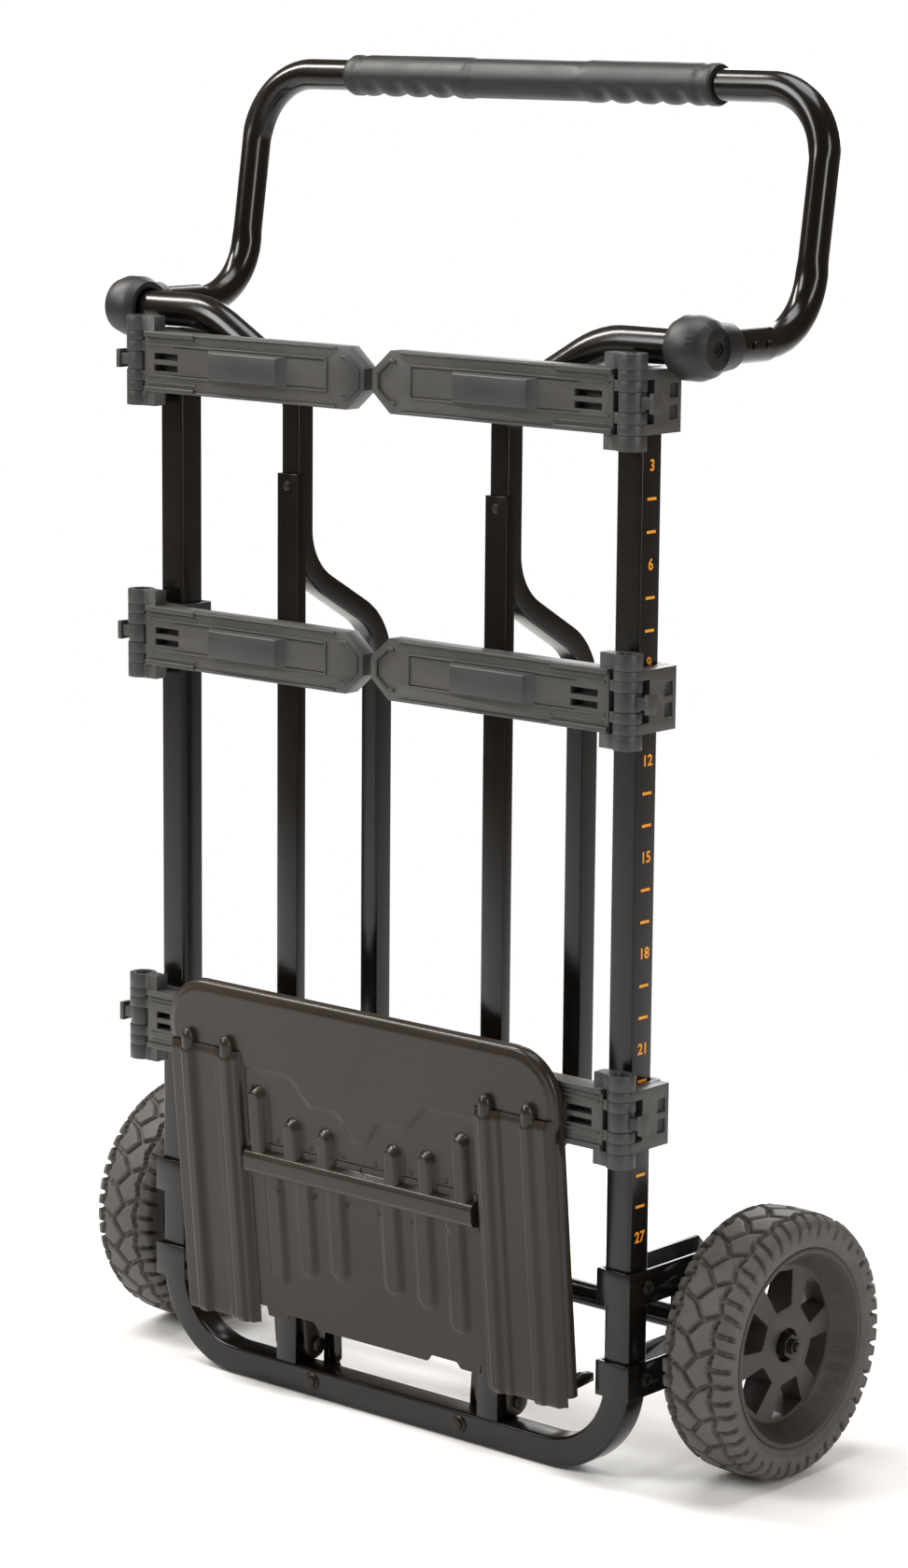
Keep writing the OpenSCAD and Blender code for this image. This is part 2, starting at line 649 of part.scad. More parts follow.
module clamp_low_left() left_at(set_low) clamp();
module clamp_low_right() right_at(set_low) clamp();
module clamp_mid_left() left_at(set_mid) clamp();
module clamp_mid_right() right_at(set_mid) clamp();
module clamp_top_left() left_at(set_high) clamp();
module clamp_top_right() right_at(set_high) clamp();
module arm_low_left() left_at(set_low) arm();
module arm_low_right() right_at(set_low) arm();
module arm_mid_left() left_at(set_mid) arm();
module arm_mid_right() right_at(set_mid) arm();
module arm_top_left() left_at(set_high) arm();
module arm_top_right() right_at(set_high) arm();
module pin_low_left() left_at(set_low) pin();
module pin_low_right() right_at(set_low) pin();
module pin_mid_left() left_at(set_mid) pin();
module pin_mid_right() right_at(set_mid) pin();
module pin_top_left() left_at(set_high) pin();
module pin_top_right() right_at(set_high) pin();
module latch_low_left() left_at(set_low) latch();
module latch_low_right() right_at(set_low) latch();
module latch_mid_left() left_at(set_mid) latch();
module latch_mid_right() right_at(set_mid) latch();
module latch_top_left() left_at(set_high) latch();
module latch_top_right() right_at(set_high) latch();

u_frame();
post_caps();
channel_left();
channel_right();
channel_rivets();
leg_left();
leg_right();
low_tube_left();
low_tube_right();
bumper_left();
bumper_right();
bumper_screws();
hoop();
socket_rivets();
grip();
strap_upper_left();
strap_upper_right();
strap_lower_left();
strap_lower_right();
strap_bolts();
axle_tube();
axle_rod();
axle_nuts();
rail_screws();
stop_tabs();
pivot_brackets();
toe_bolts();
toe_sheet();
runner_left();
runner_right();
cross_bar();
toe_lugs();
hub_left();
hub_right();
tyre_left();
tyre_right();
clamp_low_left();
arm_low_left();
pin_low_left();
latch_low_left();
clamp_low_right();
arm_low_right();
pin_low_right();
latch_low_right();
clamp_mid_left();
arm_mid_left();
pin_mid_left();
latch_mid_left();
clamp_mid_right();
arm_mid_right();
pin_mid_right();
latch_mid_right();
clamp_top_left();
arm_top_left();
pin_top_left();
latch_top_left();
clamp_top_right();
arm_top_right();
pin_top_right();
latch_top_right();
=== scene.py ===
# %% [markdown]
# # Folding upright tool-box trolley
#
# A tall two-wheeled trolley, stowed: the pressed-steel toe plate is folded up in front, and
# three pairs of moulded bracket arms are folded across the posts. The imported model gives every
# position. The cells below build the finished surfaces and materials on top of it.

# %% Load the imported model
import json
import math
import bmesh
import bpy
from mathutils import Matrix, Vector


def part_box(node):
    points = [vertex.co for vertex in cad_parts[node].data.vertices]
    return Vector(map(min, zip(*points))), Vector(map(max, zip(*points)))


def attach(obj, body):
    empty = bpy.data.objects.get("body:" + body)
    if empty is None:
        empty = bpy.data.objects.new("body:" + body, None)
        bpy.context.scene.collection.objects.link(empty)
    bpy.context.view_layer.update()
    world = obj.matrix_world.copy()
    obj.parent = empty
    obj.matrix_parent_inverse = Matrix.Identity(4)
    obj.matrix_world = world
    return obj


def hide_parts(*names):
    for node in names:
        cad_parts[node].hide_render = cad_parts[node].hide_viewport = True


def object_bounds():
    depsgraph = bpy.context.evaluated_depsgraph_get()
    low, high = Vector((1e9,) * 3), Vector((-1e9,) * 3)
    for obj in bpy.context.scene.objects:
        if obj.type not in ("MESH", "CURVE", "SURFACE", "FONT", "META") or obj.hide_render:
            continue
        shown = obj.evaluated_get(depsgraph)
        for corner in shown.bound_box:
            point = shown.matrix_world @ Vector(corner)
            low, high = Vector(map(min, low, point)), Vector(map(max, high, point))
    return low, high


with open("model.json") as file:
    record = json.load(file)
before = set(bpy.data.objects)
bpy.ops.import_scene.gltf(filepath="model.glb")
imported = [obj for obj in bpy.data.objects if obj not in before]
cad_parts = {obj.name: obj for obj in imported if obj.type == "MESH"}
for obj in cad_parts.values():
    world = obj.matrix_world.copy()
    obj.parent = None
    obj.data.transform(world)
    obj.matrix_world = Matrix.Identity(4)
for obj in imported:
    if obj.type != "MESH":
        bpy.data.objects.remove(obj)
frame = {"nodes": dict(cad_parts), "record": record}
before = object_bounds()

MM = 0.001
SIDES = (("left", -1), ("right", 1))
SETS = ("low", "mid", "top")


def box_mm(node):
    """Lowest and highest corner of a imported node, in millimetres."""
    low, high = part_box(node)
    return Vector(low) / MM, Vector(high) / MM


print("packed size in m:", [round(b - a, 3) for a, b in zip(*before)])

# %% [markdown]
# ## Colours and materials
#
# Each finish is a noise at its real scale in millimetres: powder coat has a fine orange peel,
# moulded plastic a spark-eroded grain, rubber a dull bloom. Object coordinates are in metres.

# %% Shader helpers
def linear(code, alpha=1.0):
    """Linear colour from an sRGB hex code."""
    parts = [int(code[i:i + 2], 16) / 255 for i in (0, 2, 4)]
    curve = [c / 12.92 if c <= 0.04045 else ((c + 0.055) / 1.055) ** 2.4 for c in parts]
    return tuple(curve) + (alpha,)


def add(tree, kind, inputs=None, **settings):
    """Adds a node; an input is a value or the output socket that feeds it."""
    node = tree.nodes.new(kind)
    for key, value in settings.items():
        setattr(node, key, value)
    for key, value in (inputs or {}).items():
        if isinstance(value, bpy.types.NodeSocket):
            tree.links.new(value, node.inputs[key])
        else:
            node.inputs[key].default_value = value
    return node


def noise_node(tree, place, size_mm, detail=3.0, rough=0.5):
    return add(tree, "ShaderNodeTexNoise",
               {"Vector": place, "Scale": 1000 / size_mm, "Detail": detail, "Roughness": rough})


def spread(tree, value, low, high, start=0.3, end=0.7):
    return add(tree, "ShaderNodeMapRange",
               {"Value": value, "From Min": start, "From Max": end, "To Min": low, "To Max": high})


def finish_of(name, dark, light, rough, grain_mm, grain_um, patch_mm=60, shine=0.0, metal=0.0,
              dust=0.0, wear=0.0):
    """A surface with patchy colour and roughness and a fine grain, plus dust and worn edges."""
    mat = bpy.data.materials.new(name)
    mat.use_nodes = True
    tree = mat.node_tree
    shader = tree.nodes["Principled BSDF"]
    place = add(tree, "ShaderNodeTexCoord").outputs["Object"]
    patch = noise_node(tree, place, patch_mm).outputs["Fac"]
    grain = noise_node(tree, place, grain_mm, 2.0).outputs["Fac"]
    tone = add(tree, "ShaderNodeMix", {"Factor": spread(tree, patch, 0, 1).outputs[0],
               "A": linear(dark), "B": linear(light)}, data_type="RGBA")
    colour = tone.outputs["Result"]
    if wear:
        edge = add(tree, "ShaderNodeNewGeometry").outputs["Pointiness"]
        worn = spread(tree, edge, 0, wear, 0.52, 0.6).outputs[0]
        colour = add(tree, "ShaderNodeMix", {"Factor": worn, "A": colour,
                     "B": linear("8a8782")}, data_type="RGBA").outputs["Result"]
    if dust:
        speck = noise_node(tree, place, 9, 5.0, 0.65).outputs["Fac"]
        amount = spread(tree, speck, 0, dust, 0.52, 0.75).outputs[0]
        colour = add(tree, "ShaderNodeMix", {"Factor": amount, "A": colour,
                     "B": linear("8d8780")}, data_type="RGBA").outputs["Result"]
    tree.links.new(colour, shader.inputs["Base Color"])
    gloss = spread(tree, patch, rough - 0.05, rough + 0.05).outputs[0]
    tree.links.new(gloss, shader.inputs["Roughness"])
    bump = add(tree, "ShaderNodeBump",
               {"Height": grain, "Distance": grain_um * 1e-6, "Strength": 1.0})
    tree.links.new(bump.outputs[0], shader.inputs["Normal"])
    shader.inputs["Coat Weight"].default_value = shine
    shader.inputs["Coat Roughness"].default_value = 0.2
    shader.inputs["Metallic"].default_value = metal
    return mat


# %% The finishes
PAINT = finish_of("powder coat, black gloss", "0b0907", "110e0b", 0.2, 1.4, 7, 90, 0.12)
PLATE = finish_of("powder coat, dark bronze", "28211c", "302923", 0.29, 1.0, 8, 110, 0.1)
PLASTIC = finish_of("moulded nylon, charcoal", "262626", "2e2e2e", 0.46, 0.5, 16, 50, wear=0.12)
HUB = finish_of("moulded hub, black", "2a2522", "322c29", 0.5, 0.7, 14, 45)
TYRE = finish_of("tyre rubber", "444240", "504e4b", 0.62, 0.9, 30, 40, dust=0.1)
SOFT = finish_of("moulded rubber, black", "0e0e0e", "151515", 0.5, 0.6, 22, 30)
STEEL = finish_of("blackened steel", "2a2826", "37342f", 0.36, 0.8, 6, 12, metal=0.75)
INK = finish_of("scale ink, amber", "e58e12", "f0a021", 0.5, 0.3, 2, 6)
for finish, level in ((PAINT, 0.32), (PLATE, 0.24)):
    finish.node_tree.nodes["Principled BSDF"].inputs["Specular IOR Level"].default_value = level
print("materials:", len(bpy.data.materials))

# %% [markdown]
# ## Mesh helpers
#
# Everything is built in millimetres and written in metres. A route is a polyline whose corners
# are rounded with a bend radius. A sweep carries a section along it without twist.

# %% Mesh helpers
def piece(name, bm, body, slot, material, *nodes, sharp=32):
    """Turns a bmesh in millimetres into a shown piece riding on a body."""
    bmesh.ops.recalc_face_normals(bm, faces=bm.faces)
    bmesh.ops.scale(bm, vec=(MM, MM, MM), verts=bm.verts)
    mesh = bpy.data.meshes.new(name)
    bm.to_mesh(mesh)
    bm.free()
    mesh.polygons.foreach_set("use_smooth", [True] * len(mesh.polygons))
    mesh.set_sharp_from_angle(angle=math.radians(sharp))
    mesh.materials.append(material)
    obj = bpy.data.objects.new(name, mesh)
    bpy.context.scene.collection.objects.link(obj)
    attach(obj, body)
    if nodes:
        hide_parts(*nodes)
    return obj


def route(corners, radii, step=6):
    """Points of a polyline with each inner corner rounded to its bend radius."""
    pts = [Vector(corners[0])]
    for i in range(1, len(corners) - 1):
        a, b, c = (Vector(corners[i + k]) for k in (-1, 0, 1))
        u, v = (b - a).normalized(), (c - b).normalized()
        turn = u.angle(v)
        cut = radii[i - 1] * math.tan(turn / 2)
        start, axis = b - u * cut, u.cross(v).normalized()
        centre = start + axis.cross(u) * radii[i - 1]
        count = max(3, round(math.degrees(turn) / step))
        for k in range(count + 1):
            pts.append(centre + Matrix.Rotation(turn * k / count, 3, axis) @ (start - centre))
    pts.append(Vector(corners[-1]))
    return pts


def denser(pts, gap):
    """The same route with straight parts split so that no two points are further apart than gap."""
    out = [pts[0]]
    for a, b in zip(pts, pts[1:]):
        count = max(1, math.ceil((b - a).length / gap))
        out += [a.lerp(b, k / count) for k in range(1, count + 1)]
    return out


def sweep(bm, pts, section, side):
    """Sweeps section(i, point) -> [(a, b), ...] along the points, closed at both ends."""
    rings = []
    ahead = (pts[1] - pts[0]).normalized()
    side = (Vector(side) - ahead * ahead.dot(Vector(side))).normalized()
    for i, p in enumerate(pts):
        near = pts[min(i + 1, len(pts) - 1)] - pts[max(i - 1, 0)]
        turned = near.normalized()
        side.rotate(ahead.rotation_difference(turned))
        ahead = turned
        up = ahead.cross(side)
        rings.append([bm.verts.new(p + side * a + up * b) for a, b in section(i, p)])
    for r, s in zip(rings, rings[1:]):
        for k in range(len(r)):
            bm.faces.new((r[k - 1], r[k], s[k], s[k - 1]))
    bm.faces.new(rings[0][::-1])
    bm.faces.new(rings[-1])
    return rings


def round_section(r, count=32):
    return [(r * math.cos(2 * math.pi * k / count), r * math.sin(2 * math.pi * k / count))
            for k in range(count)]


def square_section(half, corner, count=32):
    """Rounded square with the same number of points as round_section, corner by corner."""
    out = []
    per = count // 4
    for q in range(4):
        mid = math.pi / 4 + q * math.pi / 2
        cx = (half - corner) * (1 if math.cos(mid) > 0 else -1)
        cy = (half - corner) * (1 if math.sin(mid) > 0 else -1)
        for k in range(per):
            a = q * math.pi / 2 + (k + 0.5) / per * math.pi / 2
            out.append((cx + corner * math.cos(a), cy + corner * math.sin(a)))
    return out


def smooth_step(x, low, high):
    t = min(1.0, max(0.0, (x - low) / (high - low)))
    return t * t * (3 - 2 * t)


def lathe(bm, outline, centre, axis="X", steps=64, close=True):
    """Full turn of [(along, radius), ...] about a row axis through centre."""
    turn = Vector([float(axis == name) for name in "XYZ"])
    out = Vector((0, 0, 1)) if axis != "Z" else Vector((1, 0, 0))
    verts = [bm.verts.new(Vector(centre) + turn * a + out * r) for a, r in outline]
    edges = [bm.edges.new(pair) for pair in zip(verts, verts[1:] + (verts[:1] if close else []))]
    bmesh.ops.spin(bm, geom=verts + edges, cent=Vector(centre), axis=turn, dvec=(0, 0, 0),
                   angle=2 * math.pi, steps=steps, use_merge=True)
    bmesh.ops.remove_doubles(bm, verts=bm.verts, dist=1e-4)


def slab(bm, outline, axis, low, high, bevel=0.0, segments=2):
    """Prism of a 2-D outline between two positions along a row axis, with rounded edges."""
    def at(a, b, c):
        return {"X": (c, a, b), "Y": (a, c, b), "Z": (a, b, c)}[axis]
    first = [bm.verts.new(at(a, b, low)) for a, b in outline]
    last = [bm.verts.new(at(a, b, high)) for a, b in outline]
    made = [bm.faces.new(first), bm.faces.new(last[::-1])]
    for k in range(len(outline)):
        made.append(bm.faces.new((first[k - 1], last[k - 1], last[k], first[k])))
    bmesh.ops.recalc_face_normals(bm, faces=made)
    if bevel:
        edges = list({e for f in made for e in f.edges})
        bmesh.ops.bevel(bm, geom=edges, offset=bevel, offset_type="OFFSET", segments=segments,
                        profile=0.5, affect="EDGES", clamp_overlap=True, material=-1)


def packed_copy(node, bevel, segments=2, angle=28):
    """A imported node's shape in millimetres with its sharp edges rounded over."""
    bm = bmesh.new()
    bm.from_mesh(frame["nodes"][node].data)
    bmesh.ops.scale(bm, vec=(1 / MM, 1 / MM, 1 / MM), verts=bm.verts)
    bmesh.ops.remove_doubles(bm, verts=bm.verts, dist=2e-3)
    bmesh.ops.dissolve_limit(bm, angle_limit=math.radians(0.6), verts=bm.verts, edges=bm.edges)
    limit = math.radians(angle)
    sharp = [e for e in bm.edges if len(e.link_faces) == 2 and e.calc_face_angle(0) > limit]
    if bevel and sharp:
        bmesh.ops.bevel(bm, geom=sharp, offset=bevel, offset_type="OFFSET", segments=segments,
                        profile=0.5, affect="EDGES", clamp_overlap=True, material=-1)
    return bm


# %% [markdown]
# ## Camera
#
# A long lens, a little above the middle of the trolley and off its front right corner.

# %% Camera
centre = sum((Vector(b) for b in before), Vector()) / 2
cam_data = bpy.data.cameras.new("camera")
cam_data.lens = 99.6
cam = bpy.data.objects.new("camera", cam_data)
bpy.context.scene.collection.objects.link(cam)
turn, dip, roll = (math.radians(a) for a in (40.92, 10.38, -0.49))
ahead = Vector((-math.sin(turn) * math.cos(dip), math.cos(turn) * math.cos(dip), -math.sin(dip)))
right = Vector((math.cos(turn), math.sin(turn), 0))
right = Matrix.Rotation(roll, 3, ahead) @ right
above = right.cross(ahead)
turned = Matrix((right, above, -ahead)).transposed()
rail_low, rail_high = box_mm("u_frame")
floor_mid = Vector((0, (rail_low.y + rail_high.y) / 2, rail_low.z)) * MM
cam.matrix_world = Matrix.Translation(floor_mid + Vector((2.3037, -2.5881, 1.17))) @ turned.to_4x4()
bpy.context.scene.camera = cam
print("camera distance in m:", round((cam.location - centre).length, 3))

# %% [markdown]
# ## Floor and light
#
# A pale floor under five soft boxes: a key high on the left, a tall strip on the right and a
# narrow one high on the left for the bright lines along the tubes, a top box and a rear fill.

# %% Floor and lights
bpy.ops.mesh.primitive_plane_add(size=14)
ground = bpy.context.object
ground.name = "floor"
ground.data.materials.append(finish_of("studio floor", "fbfbfa", "fdfdfc", 0.8, 4, 5, 400))
# away from the trolley the floor fades into the white backdrop
tree = ground.data.materials[0].node_tree
place = add(tree, "ShaderNodeTexCoord").outputs["Object"]
reach = add(tree, "ShaderNodeVectorMath", {0: place}, operation="LENGTH").outputs["Value"]
FADE_START, FADE_END = 0.55, 1.3
far = spread(tree, reach, 0, 1, FADE_START, FADE_END).outputs[0]
seen = add(tree, "ShaderNodeLightPath").outputs["Is Camera Ray"]
fade = add(tree, "ShaderNodeMath", {0: far, 1: seen}, operation="MULTIPLY").outputs[0]
glow = add(tree, "ShaderNodeEmission", {"Color": (1, 1, 1, 1), "Strength": 1.0}).outputs[0]
matt = tree.nodes["Principled BSDF"].outputs[0]
shade = add(tree, "ShaderNodeMixShader", {0: fade, 1: matt, 2: glow})
tree.links.new(shade.outputs[0], tree.nodes["Material Output"].inputs["Surface"])


def soft_box(name, place, aim, size, power):
    data = bpy.data.lights.new(name, "AREA")
    data.shape = "RECTANGLE"
    data.size, data.size_y = size
    data.energy = power
    obj = bpy.data.objects.new(name, data)
    bpy.context.scene.collection.objects.link(obj)
    obj.location = place
    obj.rotation_euler = (Vector(aim) - Vector(place)).to_track_quat("-Z", "Y").to_euler()
    return obj


soft_box("key box", (-1.6, -2.6, 2.6), centre, (1.1, 1.6), 76)
soft_box("side strip", (2.9, -0.4, 1.5), centre, (0.5, 2.2), 36)
soft_box("top box", (0.2, 0.2, 3.0), centre, (1.4, 1.4), 45)
crown = soft_box("high strip", (-1.7, -0.5, 2.5), centre, (0.3, 1.5), 60)
crown.data.color = (1, 0.97, 0.93)
soft_box("rear fill", (-1.2, 2.6, 1.8), centre, (1.4, 1.8), 52)
world = bpy.data.worlds.new("studio")
bpy.context.scene.world = world
world.use_nodes = True
tree = world.node_tree
backdrop = tree.nodes["Background"]
WARM_GREY, ROOM_LIGHT = (1, 0.82, 0.68, 1), 0.18
seen = add(tree, "ShaderNodeLightPath").outputs["Is Camera Ray"]
tree.links.new(spread(tree, seen, ROOM_LIGHT, 1.0, 0.0, 1.0).outputs[0], backdrop.inputs["Strength"])
warm = add(tree, "ShaderNodeMix", {"Factor": seen, "A": WARM_GREY, "B": (1, 1, 1, 1)},
           data_type="RGBA")
tree.links.new(warm.outputs["Result"], backdrop.inputs["Color"])
bpy.context.scene.view_settings.view_transform = "Standard"

# %% [markdown]
# ## Tube frame
#
# The main frame is one length of square tube with two wide bottom bends. The inner tube of each
# side is a second length: it starts behind the channel, bows out to the rear, comes forward,
# changes from square to round behind the top bracket and turns into the handle socket.

# %% Main frame and inner tubes
post_w = rail_high.y - rail_low.y
post_x = rail_high.x - post_w / 2
post_top = rail_high.z
bend = 72
bm = bmesh.new()
path = route([(-post_x, 0, post_top), (-post_x, 0, post_w / 2), (post_x, 0, post_w / 2),
              (post_x, 0, post_top)], [bend, bend], 4)
sweep(bm, path, lambda i, p: square_section(post_w / 2, 3), (0, 1, 0))
piece("main_frame", bm, "frame", "frame_paint", PAINT, "u_frame")

chan_low, chan_high = box_mm("channel_right")
chan_x = (chan_low.x + chan_high.x) / 2
tube_high = box_mm("low_tube_right")[1]
leg_high = box_mm("leg_right")[1]
LOW_TUBE_R, LEG_HALF, SOCKET_SLOPE = 14.3, 9.5, 30
LEG_BENDS = [42, 55, 55, 30, 91, 18]
socket_y, low_r = tube_high.y, LOW_TUBE_R
low_z = tube_high.z - low_r
run_x = tube_high.x - low_r
leg_back = leg_high.y - LEG_HALF
neck_z = leg_high.z + 17.3
reach_x = chan_x + (low_z - neck_z) / math.tan(math.radians(SOCKET_SLOPE))
square = square_section(LEG_HALF, 2.5)
circle = round_section(low_r)
for side, sx in SIDES:
    bm = bmesh.new()
    path = denser(route(
        [(sx * chan_x, -8, 201.5), (sx * chan_x, leg_back, 263.8), (sx * chan_x, leg_back, 644.7),
         (sx * chan_x, 0, 701.2), (sx * chan_x, 0, neck_z), (sx * reach_x, 0, low_z),
         (sx * run_x, 0, low_z), (sx * run_x, socket_y, low_z)],
        LEG_BENDS, 5), 14)

    def morph(i, p):
        w = smooth_step(p.z, leg_high.z + 6, leg_high.z + 40)
        return [(a + (c - a) * w, b + (d - b) * w) for (a, b), (c, d) in zip(square, circle)]

    sweep(bm, path, morph, (sx, 0, 0))
    bmesh.ops.bisect_plane(bm, geom=bm.verts[:] + bm.edges[:] + bm.faces[:],
                           plane_co=(0, chan_high.y, 0), plane_no=(0, -1, 0.0001))
    drop = [v for v in bm.verts if v.co.y < chan_high.y - 1e-3 and v.co.z < 240]
    bmesh.ops.delete(bm, geom=drop, context="VERTS")
    bmesh.ops.holes_fill(bm, edges=[e for e in bm.edges if len(e.link_faces) == 1])
    piece("inner_tube_" + side, bm, "frame", "frame_paint", PAINT, "leg_" + side, "low_tube_" + side)
print("post spacing in mm:", round(2 * post_x, 1), "inner tubes:", round(2 * chan_x, 1))

# %% [markdown]
# ## Handle hoop and grip
#
# The hoop tube is flattened between two pressed shoulders on each upright. The grip is a rubber
# sleeve with finger scallops below, a plain middle and a collar at each end.

# %% Hoop and grip
hoop_high = box_mm("hoop")[1]
hoop_r = 12.7
HOOP_LEAN, HOOP_BEND, GRIP_SIDES = 8.5, 58, 48
top_z = hoop_high.z - hoop_r
grip_low, grip_high = box_mm("grip")
grip_y = (grip_low.y + grip_high.y) / 2
lean = (top_z - low_z) * math.tan(math.radians(HOOP_LEAN))
corner_y = grip_y - lean
bm = bmesh.new()
path = denser(route(
    [(-run_x, 24, low_z), (-run_x, corner_y, low_z), (-run_x, grip_y, top_z),
     (run_x, grip_y, top_z), (run_x, corner_y, low_z), (run_x, 24, low_z)],
    [HOOP_BEND] * 4, 5), 5)


def pressed(i, p):
    """Flattened from the inner side between the two shoulders of each upright."""
    inside = abs(p.x) > run_x - 3
    w = (smooth_step(p.z, 955, 968) - smooth_step(p.z, 1040, 1053)) if inside else 0
    out = []
    for a, b in round_section(hoop_r):
        out.append((a * (1 - 0.12 * w), b * (1 + 0.04 * w)))
    return out


sweep(bm, path, pressed, (1, 0, 0))
piece("handle_hoop", bm, "frame", "frame_paint", PAINT, "hoop", sharp=50)

half = grip_high.x
bm = bmesh.new()
stations = [-half + k * 2 for k in range(int(half) + 1)]
rings = []
for x in stations:
    d = abs(x)
    edge = min(1, (half - d) / 2.5)
    base = 16.2 + 0.8 * smooth_step(d, 60, 64) * (1 - smooth_step(d, 176, 180))
    base += 0.8 * smooth_step(d, half - 12, half - 10) - 0.8 * smooth_step(d, half - 4, half - 2)
    base -= 1.2 * (1 - edge)
    row = []
    for k in range(GRIP_SIDES):
        a = 2 * math.pi * k / GRIP_SIDES
        below = smooth_step(-math.sin(a + 0.25), 0.25, 0.85)
        r = base
        for i in range(4):
            gap = abs(d - (84 + 26 * i)) / 11
            if gap < 1:
                r -= 2.6 * below * (0.5 + 0.5 * math.cos(math.pi * gap))
        front = smooth_step(-math.cos(a), 0.6, 0.9) if d < 58 else 0
        r -= 0.7 * front * smooth_step(58 - d, 0, 3)
        row.append(bm.verts.new((x, grip_y + r * math.cos(a), top_z + r * math.sin(a))))
    rings.append(row)
for r, s in zip(rings, rings[1:]):
    for k in range(GRIP_SIDES):
        bm.faces.new((r[k - 1], r[k], s[k], s[k - 1]))
bm.faces.new(rings[0][::-1])
bm.faces.new(rings[-1])
piece("grip_sleeve", bm, "frame", "soft_rubber", SOFT, "grip", sharp=60)
print("grip length in mm:", round(2 * half), "hoop top:", round(top_z))

# %% [markdown]
# ## Small frame parts
#
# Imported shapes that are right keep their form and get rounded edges: channels, straps, caps,
# bumpers, tabs and hardware.

# %% Frame parts with rounded edges
FRAME_PARTS = [
    ("channel_left", 0.5, "frame_paint", PAINT),
    ("channel_right", 0.5, "frame_paint", PAINT),
    ("strap_upper_left", 0.6, "frame_paint", PAINT),
    ("strap_upper_right", 0.6, "frame_paint", PAINT),
    ("strap_lower_left", 0.6, "frame_paint", PAINT),
    ("strap_lower_right", 0.6, "frame_paint", PAINT),
    ("stop_tabs", 0.5, "frame_paint", PAINT),
    ("pivot_brackets", 0.5, "frame_paint", PAINT),
    ("axle_tube", 0.5, "frame_paint", PAINT),
    ("post_caps", 0.8, "soft_rubber", SOFT),
    ("bumper_left", 2.0, "soft_rubber", SOFT),
    ("bumper_right", 2.0, "soft_rubber", SOFT),
    ("bumper_screws", 0.4, "black_steel_hardware", STEEL),
    ("channel_rivets", 0.3, "black_steel_hardware", STEEL),
    ("socket_rivets", 0.8, "frame_paint", PAINT),
    ("strap_bolts", 0.8, "black_steel_hardware", STEEL),
    ("axle_rod", 0.8, "black_steel_hardware", STEEL),
    ("axle_nuts", 0.6, "black_steel_hardware", STEEL),
    ("rail_screws", 0.8, "black_steel_hardware", STEEL),
    ("toe_bolts", 0.6, "black_steel_hardware", STEEL),
]
for node, bevel, slot, material in FRAME_PARTS:
    if node == "rail_screws":
        # pressed washers under the two screw heads
        lo, hi = box_mm(node)
        bm = packed_copy(node, bevel)
        r = (hi.z - lo.z) / 2
        for x in (lo.x + r, hi.x - r):
            lathe(bm, [(-1.6, r - 1), (-1.6, r + 0.6), (-0.9, r + 1.7), (0, r + 1.9), (0, r - 1)],
                  (x, rail_low.y, (lo.z + hi.z) / 2), "Y", 48)
        piece(node + "_shown", bm, "frame", slot, material, node)
        continue
    piece(node + "_shown", packed_copy(node, bevel), "frame", slot, material, node)
print("frame parts:", len(FRAME_PARTS))

# %% [markdown]
# ## Bracket sets
#
# Each arm carries a raised grab block with sloping ends, a thin frame round its middle band, a
# C-shaped rim at its tip and stiffening ribs near the hinge.

# %% Bracket arms, clamps and latches
def arm_trim(bm, sx, x_in, x_out, front, mid):
    """Raised details on the front face of one arm, between its tip and its hinge end."""
    def rect(x0, x1, z0, z1, deep, bevel=0.5):
        xs = sorted((sx * x0, sx * x1))
        slab(bm, [(xs[0], mid + z0), (xs[1], mid + z0), (xs[1], mid + z1), (xs[0], mid + z1)],
             "Y", front - deep, front + 1, bevel)
    # frame of the middle band
    rect(44, x_out - 2, 13.4, 15.2, 1.0, 0.3)
    rect(44, x_out - 2, -12.4, -10.6, 1.0, 0.3)
    rect(44, 46, -11, 14, 1.0, 0.3)
    rect(172, 173.6, -11, 14, 1.0, 0.3)
    # edge beads and hinge-end ribs
    rect(34, x_out, 22.6, 24.4, 1.4, 0.5)
    rect(34, x_out, -24.4, -22.6, 1.4, 0.5)
    rect(x_out - 56, x_out + 1, 20.6, 24.8, 2.2, 0.6)
    rect(x_out - 56, x_out + 1, -24.8, -20.6, 2.2, 0.6)
    for z in (17.6, -17.8):
        rect(x_out - 58, x_out - 4, z, z + 1.1, 0.8, 0.3)
    # back wall of the two slots beside the hinge
    slab(bm, [(x, mid + z) for x, z in ((sx * (x_out - 42), -9), (sx * (x_out - 4), -9),
              (sx * (x_out - 4), 9), (sx * (x_out - 42), 9))], "Y", front + 9, front + 13, 0.3)
    # C-shaped rim at the tip
    a, b = x_in + 5, x_in + 25
    rim = [(a, 7), (b - 7, 18), (b, 18), (b, 15.4), (b - 6, 15.4), (a + 2.6, 6), (a + 2.6, -6),
           (b - 6, -15.4), (b, -15.4), (b, -18), (b - 7, -18), (a, -7)]
    slab(bm, [(sx * x, mid + z) for x, z in rim], "Y", front - 1.5, front + 1, 0.4)


